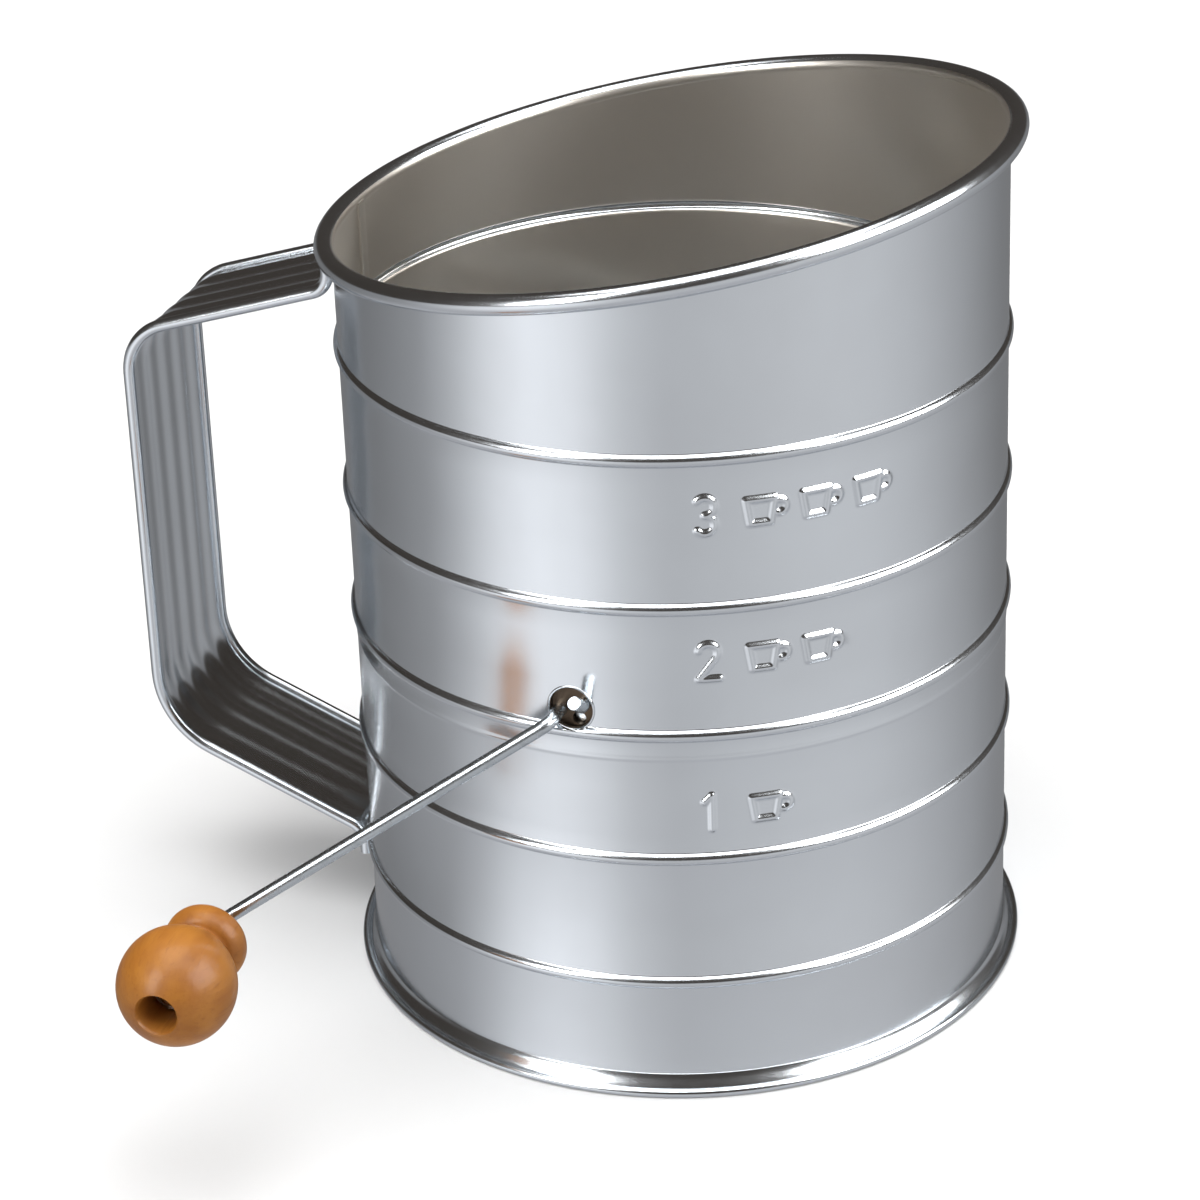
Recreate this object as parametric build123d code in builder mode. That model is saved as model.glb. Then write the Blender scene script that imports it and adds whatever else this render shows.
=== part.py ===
"""Hand-cranked flour sifter, 3 cups.

Millimetres. The origin is the centre of the foot ring on the table, +Z is up. The spout side, where the
rim is highest, is +X, the handle is at -X, and the crank comes out of the wall at -Y. The crank shaft lies
along Y.
"""

from math import asin, atan2, cos, degrees, hypot, pi, radians, sin, tan
import os

from build123d import *

# --- body wall -------------------------------------------------------------------------------------------
body_dia = 111.0            # outside of the plain wall
sheet = 0.4                 # tinplate
rim_mid_z = 139.9           # height of the rolled rim over the centre
rim_slant = 9.5             # degrees, high on the spout side
rim_roll_dia = 3.4          # outside of the rolled rim
rim_inset = 0.1             # how far the roll stands inside the wall
rib_heights = (20.8, 43.9, 66.3, 88.6, 114.0)
rib_radius = 1.1            # outside radius of a rib's section
rib_proud = 0.78            # how far a rib stands off the wall
step_below_shaft = 8.6      # the faint step where the screen ring sits
step_height = 0.7
step_proud = 0.15
seam_width = 2.4            # folded lock seam inside the wall, behind the handle
seam_proud = 0.5
lip_width = 0.5             # pressed lip round each shaft hole
lip_proud = 0.2
lip_sink = 0.2              # how far the lip reaches inside the wall

# --- foot ring -------------------------------------------------------------------------------------------
foot_height = 3.2           # the flare, below the plain wall
foot_flare = 1.75           # how far the middle of the rolled edge stands outside the wall
foot_roll_dia = 1.7
foot_flat = 0.9             # width of the flattened standing face
foot_sleeve = 5.0           # sleeve of the foot ring inside the wall

# --- edge wires ------------------------------------------------------------------------------------------
edge_wire_gap = 0.05        # between a rolled edge and the wire in it

# --- crank and agitator ----------------------------------------------------------------------------------
shaft_z = 70.4
wire_dia = 2.25
wire_gap = 0.15             # between the wires of the shaft
shaft_clearance = 0.08      # wire row in its hole
row_tilt = 25.0             # degrees, of the row of wires at rest
hoop_bend = 2.5             # bend radius where a hoop leaves the shaft
centre_lean = 15.0          # degrees, of the centre wire's hoop off square to the row
arm_stand_off = 3.8         # arm's wire off the wall, at the hub
arm_bend = 2.6
arm_run = 49.62             # towards the handle, at rest
arm_drop = 31.99
arm_flare = 21.27           # outwards, away from the wall
spindle_bend = 3.0
spindle_toe = 3.5           # degrees the spindle turns in towards the shaft
stop_length = 4.3
stop_rise = 34.0            # degrees up from the shaft's line
stop_stand_off = 0.9
rear_hook = 6.0
rear_hook_stand_off = 2.6
stop_bend = 1.8             # bend radius of the stop and of the rear hook
centre_end_proud = 1.4      # cut ends outside the wall at the back
ferrule_wall = 0.7
ferrule_length = 2.0
ferrule_gap = 0.45          # off the wall
ferrule_sink = 1.0          # wire ends that stop inside the ferrules

# --- screen ----------------------------------------------------------------------------------------------
screen_sheet = 0.7          # thickness of the woven wire
screen_gap = 0.6            # agitator wires over the screen
screen_radius = 52.4        # outside of the bowl, centred on the shaft
ring_sheet = 0.6
ring_height = 6.0
ring_flange = 3.4

# --- handle ----------------------------------------------------------------------------------------------
strap_width = 29.0
strap_sheet = 0.5
strap_hem_dia = 2.2         # rolled long edges
flute_count = 4
flute_pitch = 6.0
flute_radius = 1.0          # ridge on the outer side
flute_proud = 0.4
groove_radius = 0.8         # same flute, on the finger side
grip_room = 38.7            # middle of the grip, from the wall
strap_below_rim = 10.9      # top end of the strap's run, below the rim's lowest point
grip_top_bend = 10.0
grip_height = 75.5          # between the corners of the grip
grip_bottom_bend = 15.0
top_run_rise = 11.8         # from the grip up to the wall
bottom_run_drop = 16.1      # from the grip down to the wall
tab_bend = 4.0
tab_stand_off = 0.45        # middle of the strap off the wall, where it turns into its tab
strap_turn = 4.5            # the turned ends of the strap, along the wall
tab_width = 26.0
tab_sink = 1.0              # how far a tab starts inside the turn
top_tab_height = 8.6
bottom_tab_height = 9.0
weld_dia = 2.4
weld_proud = 0.35
weld_spread = 23.0

# --- knob ------------------------------------------------------------------------------------------------
knob_ball_dia = 19.0
knob_collar_dia = 13.5
knob_neck_dia = 9.8
knob_collar_length = 5.5
knob_back_at = 15.1
spindle_length = 19.56      # from the last bend's corner to the middle of the ball
bore_clearance = 0.1
counterbore_dia = 6.4
counterbore_depth = 7.8
washer_dia = 5.4
washer_thickness = 0.6
washer_float = 0.35
head_dia = 3.6
head_length = 0.9

# --- level marks -----------------------------------------------------------------------------------------
mark_heights = (52.4, 79.4, 104.6)
mark_bearing = -70.7        # left end of the marks, degrees from the spout
mark_height = 7.0
mark_stroke = 1.0
mark_proud = 0.35
mark_gap = 2.4              # between a numeral and its cups
mark_sink = 2.0             # depth the strokes start from, inside the wall's face
cup_width = 6.8

# --- worked out ------------------------------------------------------------------------------------------
wall_r = body_dia / 2
step_z = shaft_z - step_below_shaft
inner_r = wall_r - sheet
slant = radians(rim_slant)
rim_roll_r = rim_roll_dia / 2
rim_path_r = inner_r - rim_inset + rim_roll_r
foot_roll_r = foot_roll_dia / 2
foot_roll_x = wall_r + foot_flare
wire_r = wire_dia / 2
pitch = wire_dia + wire_gap
hole_r = pitch + wire_r + shaft_clearance
hub = Vector(0, 0, shaft_z)
along = Vector(0, 1, 0)
row_dir = Vector(cos(radians(row_tilt)), 0, sin(radians(row_tilt)))
row_up = Vector(-sin(radians(row_tilt)), 0, cos(radians(row_tilt)))
centre_dir = Vector(-sin(radians(row_tilt + centre_lean)), 0, cos(radians(row_tilt + centre_lean)))
hoop_r = screen_radius - screen_sheet - screen_gap - wire_r
ferrule_r = pitch + wire_r + ferrule_wall
ferrule_end = inner_r - lip_sink - ferrule_gap
ring_top = step_z + step_height
screen_top = ring_top - ring_sheet
seam_start = ring_top + ring_sheet
hem_r = strap_hem_dia / 2
strap_edge = strap_width / 2 - hem_r
strap_wall_x = -(wall_r + tab_stand_off)
strap_top_z = rim_mid_z - wall_r * tan(slant) - strap_below_rim
grip_top_z = strap_top_z - top_run_rise
grip_bottom_z = grip_top_z - grip_height
handle_reach = wall_r + grip_room
strap_bottom_z = grip_bottom_z - bottom_run_drop
knob_r = knob_ball_dia / 2
counterbore_floor = knob_r - counterbore_depth
spindle_dir = Vector(sin(radians(spindle_toe)), -cos(radians(spindle_toe)), 0)
arm_start = hub - row_dir * pitch - along * (wall_r + arm_stand_off)
arm_end = arm_start + Vector(-arm_run, -arm_flare, -arm_drop)
knob_middle = arm_end + spindle_dir * spindle_length
knob_plane = Plane(origin=knob_middle, x_dir=(0, 0, 1), z_dir=spindle_dir.cross(Vector(0, 0, 1)) * -1)
rim_plane = Plane(origin=(0, 0, rim_mid_z), x_dir=(cos(slant), 0, sin(slant)),
                  z_dir=(-sin(slant), 0, cos(slant)))


def save(solid, name):
    """Name a finished piece and write it out."""
    solid.label = name
    export_step(solid, f"parts/{name}.step")


# === body wall ===========================================================================================
def mark_plane(height, shift):
    """Plane on the wall's outside for a level mark, reading from -Y round to +X."""
    bearing = radians(mark_bearing) + shift / wall_r
    outward = Vector(cos(bearing), sin(bearing), 0)
    return Plane(origin=outward * (wall_r - mark_sink) + Vector(0, 0, height),
                 x_dir=(-sin(bearing), cos(bearing), 0), z_dir=outward)


def numeral(count):
    """Strokes of a 1, 2 or 3 in the open sketch."""
    bowl = (mark_height - mark_stroke) / 4
    reach = bowl + mark_stroke / 2
    if count == 1:
        Rectangle(mark_stroke, mark_height)
        with Locations(Location((-mark_stroke, mark_height / 2 - mark_stroke), 45)):
            Rectangle(2 * mark_stroke, mark_stroke)
        return
    for side in (1, -1):
        with Locations((0, side * bowl)):
            Circle(reach)
            Circle(reach - mark_stroke, mode=Mode.SUBTRACT)
    with Locations((-reach, 0)):
        Rectangle(2 * reach, 2 * bowl, mode=Mode.SUBTRACT)
    if count == 2:
        with Locations((0, -mark_height / 4)):
            Rectangle(2 * reach, mark_height / 2, mode=Mode.SUBTRACT)
        with Locations((0, (mark_stroke - mark_height) / 2)):
            Rectangle(2 * reach, mark_stroke)
        with Locations(Location((0, -mark_height / 4 + mark_stroke / 2), degrees(atan2(bowl, reach)))):
            Rectangle(hypot(2 * bowl, 2 * reach) - mark_stroke, mark_stroke)


def cup_glyph():
    """Small cup with its ear, in the open sketch."""
    with Locations((-mark_stroke / 2, 0)):
        Trapezoid(cup_width - 2 * mark_stroke, mark_height * 0.7, 100, rotation=180)
        Trapezoid(cup_width - 4 * mark_stroke, mark_height * 0.7 - 2 * mark_stroke, 100, rotation=180,
                  mode=Mode.SUBTRACT)
    with Locations((cup_width / 2 - mark_stroke, mark_stroke / 2)):
        Circle(1.5 * mark_stroke)
        Circle(0.7 * mark_stroke, mode=Mode.SUBTRACT)


def level_marks():
    """Pressed level marks: a numeral and as many cups, standing off the wall."""
    with BuildPart() as marks:
        for count, height in zip((1, 2, 3), mark_heights):
            for place in range(count + 1):
                shift = mark_height / 2 + place * (cup_width + mark_gap)
                with BuildSketch(mark_plane(height, shift)):
                    if place == 0:
                        numeral(count)
                    else:
                        cup_glyph()
                extrude(amount=mark_sink + 3 * mark_proud)
        with BuildSketch(Plane.XY):
            Circle(wall_r + mark_proud)
            Circle(wall_r - sheet / 2, mode=Mode.SUBTRACT)
        extrude(amount=rim_mid_z, mode=Mode.INTERSECT)
    return marks


def body_wall(marks):
    """Ribbed wall, its step, seam, shaft holes, marks and the rolled rim, as one sheet."""
    top = rim_mid_z + body_dia * tan(slant)
    rib_x = wall_r + rib_proud - rib_radius
    with BuildPart() as body:
        with BuildSketch(Plane.XZ):
            with Locations((inner_r, foot_height)):
                Rectangle(sheet, top - foot_height, align=(Align.MIN, Align.MIN))
            with Locations(*[(rib_x, z) for z in rib_heights]):
                Circle(rib_radius)
            with Locations(*[(rib_x, z) for z in rib_heights]):
                Circle(rib_radius - sheet, mode=Mode.SUBTRACT)
            with Locations((wall_r, step_z)):
                Rectangle(step_proud, step_height, align=(Align.MIN, Align.MIN))
            with Locations((inner_r, 0)):
                Rectangle(3 * rib_radius, top, align=(Align.MAX, Align.MIN), mode=Mode.SUBTRACT)
        revolve(axis=Axis.Z)
        add(marks.part)
        with BuildSketch(Plane.XY.offset(seam_start)):
            with Locations((-inner_r, 0)):
                Rectangle(2 * seam_proud, seam_width)
            with Locations((-wall_r - seam_proud, 0)):
                Rectangle(2 * seam_proud + sheet, 2 * seam_width, mode=Mode.SUBTRACT)
        extrude(amount=top - seam_start)
        with BuildSketch(rim_plane):
            Rectangle(2 * body_dia, 2 * body_dia)
        extrude(amount=body_dia, mode=Mode.SUBTRACT)
        with BuildLine(rim_plane) as rim_path:
            EllipticalCenterArc((0, 0), rim_path_r / cos(slant), rim_path_r, arc_size=360)
        with BuildSketch(Plane(origin=rim_path.line @ 0, x_dir=rim_plane.z_dir, z_dir=rim_path.line % 0)):
            Circle(rim_roll_r)
        sweep(path=rim_path.wire())
        with BuildSketch(Plane(origin=rim_path.line @ 0, x_dir=rim_plane.z_dir, z_dir=rim_path.line % 0)):
            Circle(rim_roll_r - sheet)
        sweep(path=rim_path.wire(), mode=Mode.SUBTRACT)
        for lip_start in (inner_r - lip_sink, -wall_r - lip_proud):
            with BuildSketch(Plane.XZ.offset(lip_start)):
                with Locations((0, shaft_z)):
                    Circle(hole_r + lip_width)
            extrude(amount=sheet + lip_sink + lip_proud)
        with BuildSketch(Plane.XZ.offset(-body_dia)):
            with Locations((0, shaft_z)):
                Circle(hole_r)
        extrude(amount=2 * body_dia, mode=Mode.SUBTRACT)
    return body


def rim_wire():
    """Stiffening wire inside the rolled rim."""
    with BuildPart() as wire:
        with BuildLine(rim_plane) as path:
            EllipticalCenterArc((0, 0), rim_path_r / cos(slant), rim_path_r, arc_size=360)
        with BuildSketch(Plane(origin=path.line @ 0, x_dir=rim_plane.z_dir, z_dir=path.line % 0)):
            Circle(rim_roll_r - sheet - edge_wire_gap)
        sweep(path=path.wire())
    return wire


# === foot ring ===========================================================================================
def foot_ring():
    """Flared foot with a rolled, flattened edge and a sleeve inside the wall."""
    with BuildPart() as foot:
        with BuildSketch(Plane.XZ):
            with Locations((inner_r, foot_height)):
                Rectangle(sheet, foot_sleeve, align=(Align.MAX, Align.MIN))
            with BuildLine():
                Polyline((inner_r - sheet, foot_height), (wall_r, foot_height),
                         (foot_roll_x, foot_roll_dia), (foot_roll_x, foot_roll_dia - sheet),
                         (wall_r, foot_height - 2 * sheet), close=True)
            make_face()
            with Locations((foot_roll_x, foot_roll_r)):
                Circle(foot_roll_r)
            with Locations((foot_roll_x, 0)):
                Rectangle(foot_flat, foot_roll_r, align=(Align.CENTER, Align.MIN))
            with Locations((foot_roll_x, foot_roll_r)):
                Circle(foot_roll_r - sheet, mode=Mode.SUBTRACT)
        revolve(axis=Axis.Z)
    return foot


def foot_wire():
    """Stiffening wire inside the foot's rolled edge."""
    with BuildPart() as wire:
        with BuildSketch(Plane.XZ):
            with Locations((foot_roll_x, foot_roll_r)):
                Circle(foot_roll_r - sheet - edge_wire_gap)
        revolve(axis=Axis.Z)
    return wire


# === screen ==============================================================================================
def screen_bowl():
    """Dished screen, centred on the shaft, with the flat edge that is clamped."""
    with BuildPart() as bowl:
        with BuildSketch(Plane.XZ):
            with Locations((0, shaft_z)):
                Circle(screen_radius)
            with Locations((0, screen_top)):
                Rectangle(inner_r - ring_sheet, 2 * screen_radius, align=(Align.MIN, Align.MAX),
                          mode=Mode.INTERSECT)
            with Locations((0, screen_top)):
                Rectangle(inner_r - ring_sheet, screen_sheet, align=(Align.MIN, Align.MAX))
            with Locations((0, shaft_z)):
                Circle(screen_radius - screen_sheet, mode=Mode.SUBTRACT)
        revolve(axis=Axis.Z)
    return bowl


def screen_ring():
    """Angle ring that holds the screen's edge in the wall."""
    with BuildPart() as ring:
        with BuildSketch(Plane.XZ):
            with Locations((inner_r, ring_top)):
                Rectangle(ring_sheet, ring_height, align=(Align.MAX, Align.MAX))
                Rectangle(ring_flange, ring_sheet, align=(Align.MAX, Align.MAX))
        revolve(axis=Axis.Z)
    return ring


# === handle ==============================================================================================
def strap_path():
    """Middle line of the handle strap, from its top end down to its bottom end."""
    with BuildLine(Plane.XZ) as path:
        FilletPolyline((strap_wall_x, strap_top_z + strap_turn), (strap_wall_x, strap_top_z),
                       (-handle_reach, grip_top_z), (-handle_reach, grip_bottom_z),
                       (strap_wall_x, strap_bottom_z), (strap_wall_x, strap_bottom_z - strap_turn),
                       radius=[tab_bend, grip_top_bend, grip_bottom_bend, tab_bend])
    return path


def strap_plane(path):
    """Section plane at the strap's top end: x across the strap, +y on the finger side."""
    return Plane(origin=path.line @ 0, x_dir=(0, 1, 0), z_dir=path.line % 0)


def on_wall(height, width, bottom, inner, outer):
    """Patch that hugs the wall behind the handle, between two radii."""
    with BuildPart() as patch:
        with BuildSketch(Plane.XY.offset(bottom)):
            Circle(outer)
            Circle(inner, mode=Mode.SUBTRACT)
            with Locations((-outer, 0)):
                Rectangle(outer, width, mode=Mode.INTERSECT)
        extrude(amount=height)
    return patch


def handle_strap():
    """Fluted strap with rolled edges, turned up and down on to the wall."""
    path = strap_path()
    top_tab = on_wall(top_tab_height, tab_width, strap_top_z, wall_r, wall_r + strap_sheet)
    bottom_tab = on_wall(bottom_tab_height, tab_width, strap_bottom_z - bottom_tab_height,
                         wall_r, wall_r + strap_sheet)
    flutes = [((i - (flute_count - 1) / 2) * flute_pitch, 0) for i in range(flute_count)]
    with BuildPart() as strap:
        with BuildSketch(strap_plane(path)):
            Rectangle(2 * strap_edge, strap_sheet)
            with Locations((0, flute_radius - flute_proud - strap_sheet / 2)):
                with Locations(*flutes):
                    Circle(flute_radius)
            with Locations((0, strap_sheet / 2)):
                Rectangle(2 * strap_edge, 2 * flute_radius, align=(Align.CENTER, Align.MIN),
                          mode=Mode.SUBTRACT)
            with Locations((0, groove_radius - flute_proud + strap_sheet / 2)):
                with Locations(*flutes):
                    Circle(groove_radius, mode=Mode.SUBTRACT)
            with Locations((-strap_edge, 0), (strap_edge, 0)):
                Circle(hem_r)
            with Locations((-strap_edge, 0), (strap_edge, 0)):
                Circle(hem_r - strap_sheet, mode=Mode.SUBTRACT)
        sweep(path=path.wire())
        add(top_tab.part)
        add(bottom_tab.part)
    return strap


def strap_wire(side):
    """Stiffening wire in one rolled edge of the strap."""
    path = strap_path()
    with BuildPart() as wire:
        with BuildSketch(strap_plane(path)):
            with Locations((side * strap_edge, 0)):
                Circle(hem_r - strap_sheet - edge_wire_gap)
        sweep(path=path.wire())
    return wire


def handle_welds():
    """Four spot welds that stand off the handle's tabs."""
    tab_face = wall_r + strap_sheet
    bearing = asin(weld_spread / 2 / tab_face)
    skin = on_wall(rim_mid_z, body_dia, 0, tab_face, tab_face + weld_proud)
    with BuildPart() as welds:
        for height in (strap_top_z + top_tab_height - weld_dia,
                       strap_bottom_z - bottom_tab_height + weld_dia):
            for side in (1, -1):
                outward = Vector(-cos(bearing), side * sin(bearing), 0)
                with BuildSketch(Plane(origin=outward * inner_r + Vector(0, 0, height), z_dir=outward)):
                    Circle(weld_dia / 2)
                extrude(amount=wall_r)
        add(skin.part, mode=Mode.INTERSECT)
    return welds


# === crank and agitator ==================================================================================
def on_shaft(direction, offset, y):
    """Point beside the shaft's axis."""
    return hub + direction * offset + along * y


def half_hoop(direction, offset):
    """Half hoop of an agitator wire in the open line, from its front leg to its rear leg."""
    swing = asin((offset + hoop_bend) / (hoop_r + hoop_bend))
    half_turn = (pi / 2 - swing) / 2
    leg_end = (hoop_r + hoop_bend) * cos(swing)
    knee = offset + hoop_bend - hoop_bend * cos(half_turn)
    knee_y = leg_end - hoop_bend * sin(half_turn)
    out = hoop_r * sin(swing)
    out_y = hoop_r * cos(swing)
    for end in (-1, 1):
        ThreePointArc(on_shaft(direction, offset, end * leg_end), on_shaft(direction, knee, end * knee_y),
                      on_shaft(direction, out, end * out_y))
    ThreePointArc(on_shaft(direction, out, -out_y), on_shaft(direction, hoop_r, 0),
                  on_shaft(direction, out, out_y))
    return leg_end


def along_wire(line):
    """Sweep the wire's round section along a line."""
    path = line.wire()
    with BuildPart() as wire:
        with BuildSketch(Plane(origin=path @ 0, z_dir=path % 0)):
            Circle(wire_r)
        sweep(path=path)
    return wire


def crank_wire():
    """The wire that is hook, half hoop, shaft, arm and spindle in one, with its upset head."""
    side = row_dir * -1
    hook_y = wall_r + rear_hook_stand_off
    spindle_end = knob_middle + spindle_dir * (counterbore_floor + washer_float + washer_thickness)
    with BuildLine() as line:
        leg_end = half_hoop(side, pitch)
        FilletPolyline(on_shaft(side, pitch, leg_end), on_shaft(side, pitch, hook_y),
                       on_shaft(side, pitch + rear_hook, hook_y), radius=stop_bend)
        FilletPolyline(on_shaft(side, pitch, -leg_end), arm_start, arm_end, spindle_end,
                       radius=[arm_bend, spindle_bend])
    wire = along_wire(line)
    with BuildPart() as crank:
        add(wire.part)
        with BuildSketch(Plane(origin=spindle_end, z_dir=spindle_dir)):
            Circle(head_dia / 2)
        extrude(amount=head_length)
    return crank


def centre_wire():
    """The wire in the middle of the shaft, from the front ferrule to just outside the rear hole."""
    front_y = ferrule_end - ferrule_sink
    end_y = wall_r + centre_end_proud
    with BuildLine() as line:
        leg_end = half_hoop(centre_dir, 0)
        Line(on_shaft(centre_dir, 0, -front_y), on_shaft(centre_dir, 0, -leg_end))
        Line(on_shaft(centre_dir, 0, leg_end), on_shaft(centre_dir, 0, end_y))
    return along_wire(line)


def stop_wire():
    """The wire whose front end is bent up outside the wall, which keeps the shaft in."""
    corner = on_shaft(row_dir, pitch, -(wall_r + stop_stand_off))
    rise = radians(stop_rise)
    tip = corner + Vector(0, -cos(rise), sin(rise)) * stop_length
    with BuildLine() as line:
        leg_end = half_hoop(row_dir, pitch)
        FilletPolyline(tip, corner, on_shaft(row_dir, pitch, -leg_end), radius=stop_bend)
        Line(on_shaft(row_dir, pitch, leg_end), on_shaft(row_dir, pitch, wall_r + centre_end_proud))
    return along_wire(line)


def lower_wire():
    """The fourth wire, which ends in the ferrules."""
    down = row_up * -1
    with BuildLine() as line:
        leg_end = half_hoop(down, pitch)
        for end in (-1, 1):
            Line(on_shaft(down, pitch, end * leg_end), on_shaft(down, pitch, end * (ferrule_end - ferrule_sink)))
    return along_wire(line)


def ferrule(start_y):
    """Ferrule soldered round the four wires, from one plane towards the front."""
    with BuildPart() as sleeve:
        with BuildSketch(Plane(origin=on_shaft(row_dir, 0, start_y), x_dir=row_dir, z_dir=(0, -1, 0))):
            Circle(ferrule_r)
            with Locations((0, 0), (-pitch, 0), (pitch, 0), (0, -pitch)):
                Circle(wire_r, mode=Mode.SUBTRACT)
        extrude(amount=ferrule_length)
    return sleeve


# === knob ================================================================================================
def knob():
    """Turned knob, a ball with a collar, bored and counterbored."""
    bore_r = wire_r + bore_clearance
    with BuildPart() as turned:
        with BuildSketch(knob_plane):
            Circle(knob_r)
            with Locations((0, -knob_back_at)):
                Rectangle(knob_neck_dia, knob_back_at, align=(Align.CENTER, Align.MIN))
            with Locations((0, knob_collar_length / 2 - knob_back_at)):
                RectangleRounded(knob_collar_dia, knob_collar_length, knob_collar_length * 0.42)
            with Locations((0, -2 * knob_r)):
                Rectangle(2 * bore_r, 4 * knob_r, align=(Align.CENTER, Align.MIN), mode=Mode.SUBTRACT)
            with Locations((0, counterbore_floor)):
                Rectangle(counterbore_dia, knob_r, align=(Align.CENTER, Align.MIN), mode=Mode.SUBTRACT)
            Rectangle(2 * knob_r, 4 * knob_r, align=(Align.MAX, Align.CENTER), mode=Mode.SUBTRACT)
        revolve(axis=Axis(origin=knob_middle, direction=spindle_dir))
    return turned


def knob_washer():
    """Washer on the spindle under its upset head."""
    seat = knob_middle + spindle_dir * (counterbore_floor + washer_float)
    with BuildPart() as washer:
        with BuildSketch(Plane(origin=seat, z_dir=spindle_dir)):
            Circle(washer_dia / 2)
            Circle(wire_r, mode=Mode.SUBTRACT)
        extrude(amount=washer_thickness)
    return washer


# === build ===============================================================================================
os.makedirs("parts", exist_ok=True)
save(body_wall(level_marks()).part, "body_wall")
save(rim_wire().part, "rim_wire")
save(foot_ring().part, "foot_ring")
save(foot_wire().part, "foot_wire")
save(screen_bowl().part, "screen_bowl")
save(screen_ring().part, "screen_ring")
save(handle_strap().part, "handle_strap")
save(strap_wire(-1).part, "handle_wire_front")
save(strap_wire(1).part, "handle_wire_rear")
save(handle_welds().part, "handle_welds")
save(crank_wire().part, "crank_wire")
save(centre_wire().part, "agitator_wire_centre")
save(stop_wire().part, "agitator_wire_stop")
save(lower_wire().part, "agitator_wire_lower")
save(ferrule(ferrule_length - ferrule_end).part, "front_ferrule")
save(ferrule(ferrule_end).part, "rear_ferrule")
save(knob().part, "knob")
save(knob_washer().part, "knob_washer")
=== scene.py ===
"""Hand-cranked flour sifter: its looks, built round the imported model.

Lengths are in millimetres in every class and become metres when a mesh is made. The origin is the middle
of the foot ring on the table, +Z is up, the spout side is +X, the handle is at -X and the crank is at -Y.
"""

from __future__ import annotations

import sys

import logging
import math
from dataclasses import dataclass
from enum import Enum
from typing import Any, Callable, Sequence

import bmesh
import bpy
from mathutils import Matrix, Vector


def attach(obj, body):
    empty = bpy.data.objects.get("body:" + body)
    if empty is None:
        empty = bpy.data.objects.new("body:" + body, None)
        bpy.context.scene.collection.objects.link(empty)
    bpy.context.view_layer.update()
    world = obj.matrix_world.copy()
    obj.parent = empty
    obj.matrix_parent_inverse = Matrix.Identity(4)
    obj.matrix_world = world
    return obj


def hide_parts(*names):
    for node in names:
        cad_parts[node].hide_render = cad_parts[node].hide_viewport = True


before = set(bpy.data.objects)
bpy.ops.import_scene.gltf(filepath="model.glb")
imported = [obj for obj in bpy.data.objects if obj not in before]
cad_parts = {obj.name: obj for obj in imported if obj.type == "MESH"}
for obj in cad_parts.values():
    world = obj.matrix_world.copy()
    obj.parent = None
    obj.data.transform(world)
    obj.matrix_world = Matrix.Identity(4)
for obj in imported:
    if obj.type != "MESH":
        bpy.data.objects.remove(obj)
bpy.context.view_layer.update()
BMesh = bmesh.types.BMesh
Pair = tuple[float, float]
Triple = tuple[float, float, float]
LOG = logging.getLogger("sifter")
MM = 0.001
UP = Vector((0.0, 0.0, 1.0))
ALONG = Vector((0.0, 1.0, 0.0))
WALL_RADIUS = 55.5
SHAFT_HEIGHT = 70.4
KNOB_MIDDLE = (-50.601, -100.094, 37.396)
SPINDLE_TOE = 3.5
RING_STEPS = 240
WELD_DISTANCE = 1e-5


# --- shader helpers --------------------------------------------------------------------------------------
class Signal:
    """One number in a material's nodes, with Python's operators on it."""

    def __init__(self, graph: "Graph", socket: Any) -> None:
        """Wrap a socket.

        Args:
            graph: the graph that new nodes are added to.
            socket: the output socket that carries the number.
        """
        self.graph = graph
        self.socket = socket

    def _math(self, operation: str, *values: Any) -> "Signal":
        """Add one Math node.

        Args:
            operation: the node's operation.
            values: its inputs, numbers or signals, in order.

        Returns:
            The node's result.
        """
        node = self.graph.node("ShaderNodeMath", {"operation": operation}, dict(enumerate(values)))
        return Signal(self.graph, node.outputs[0])

    def __add__(self, other: Any) -> "Signal":
        """Sum."""
        return self._math("ADD", self, other)

    __radd__ = __add__

    def __sub__(self, other: Any) -> "Signal":
        """Difference."""
        return self._math("SUBTRACT", self, other)

    def __rsub__(self, other: Any) -> "Signal":
        """Difference from a plain number."""
        return self._math("SUBTRACT", other, self)

    def __mul__(self, other: Any) -> "Signal":
        """Product."""
        return self._math("MULTIPLY", self, other)

    __rmul__ = __mul__

    def __truediv__(self, other: Any) -> "Signal":
        """Quotient."""
        return self._math("DIVIDE", self, other)

    def clipped(self) -> "Signal":
        """Keep between 0 and 1."""
        return self._math("MINIMUM", self._math("MAXIMUM", self, 0.0), 1.0)

    def above(self, edge: float) -> "Signal":
        """1 where the number is over an edge, else 0."""
        return self._math("GREATER_THAN", self, edge)


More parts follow.
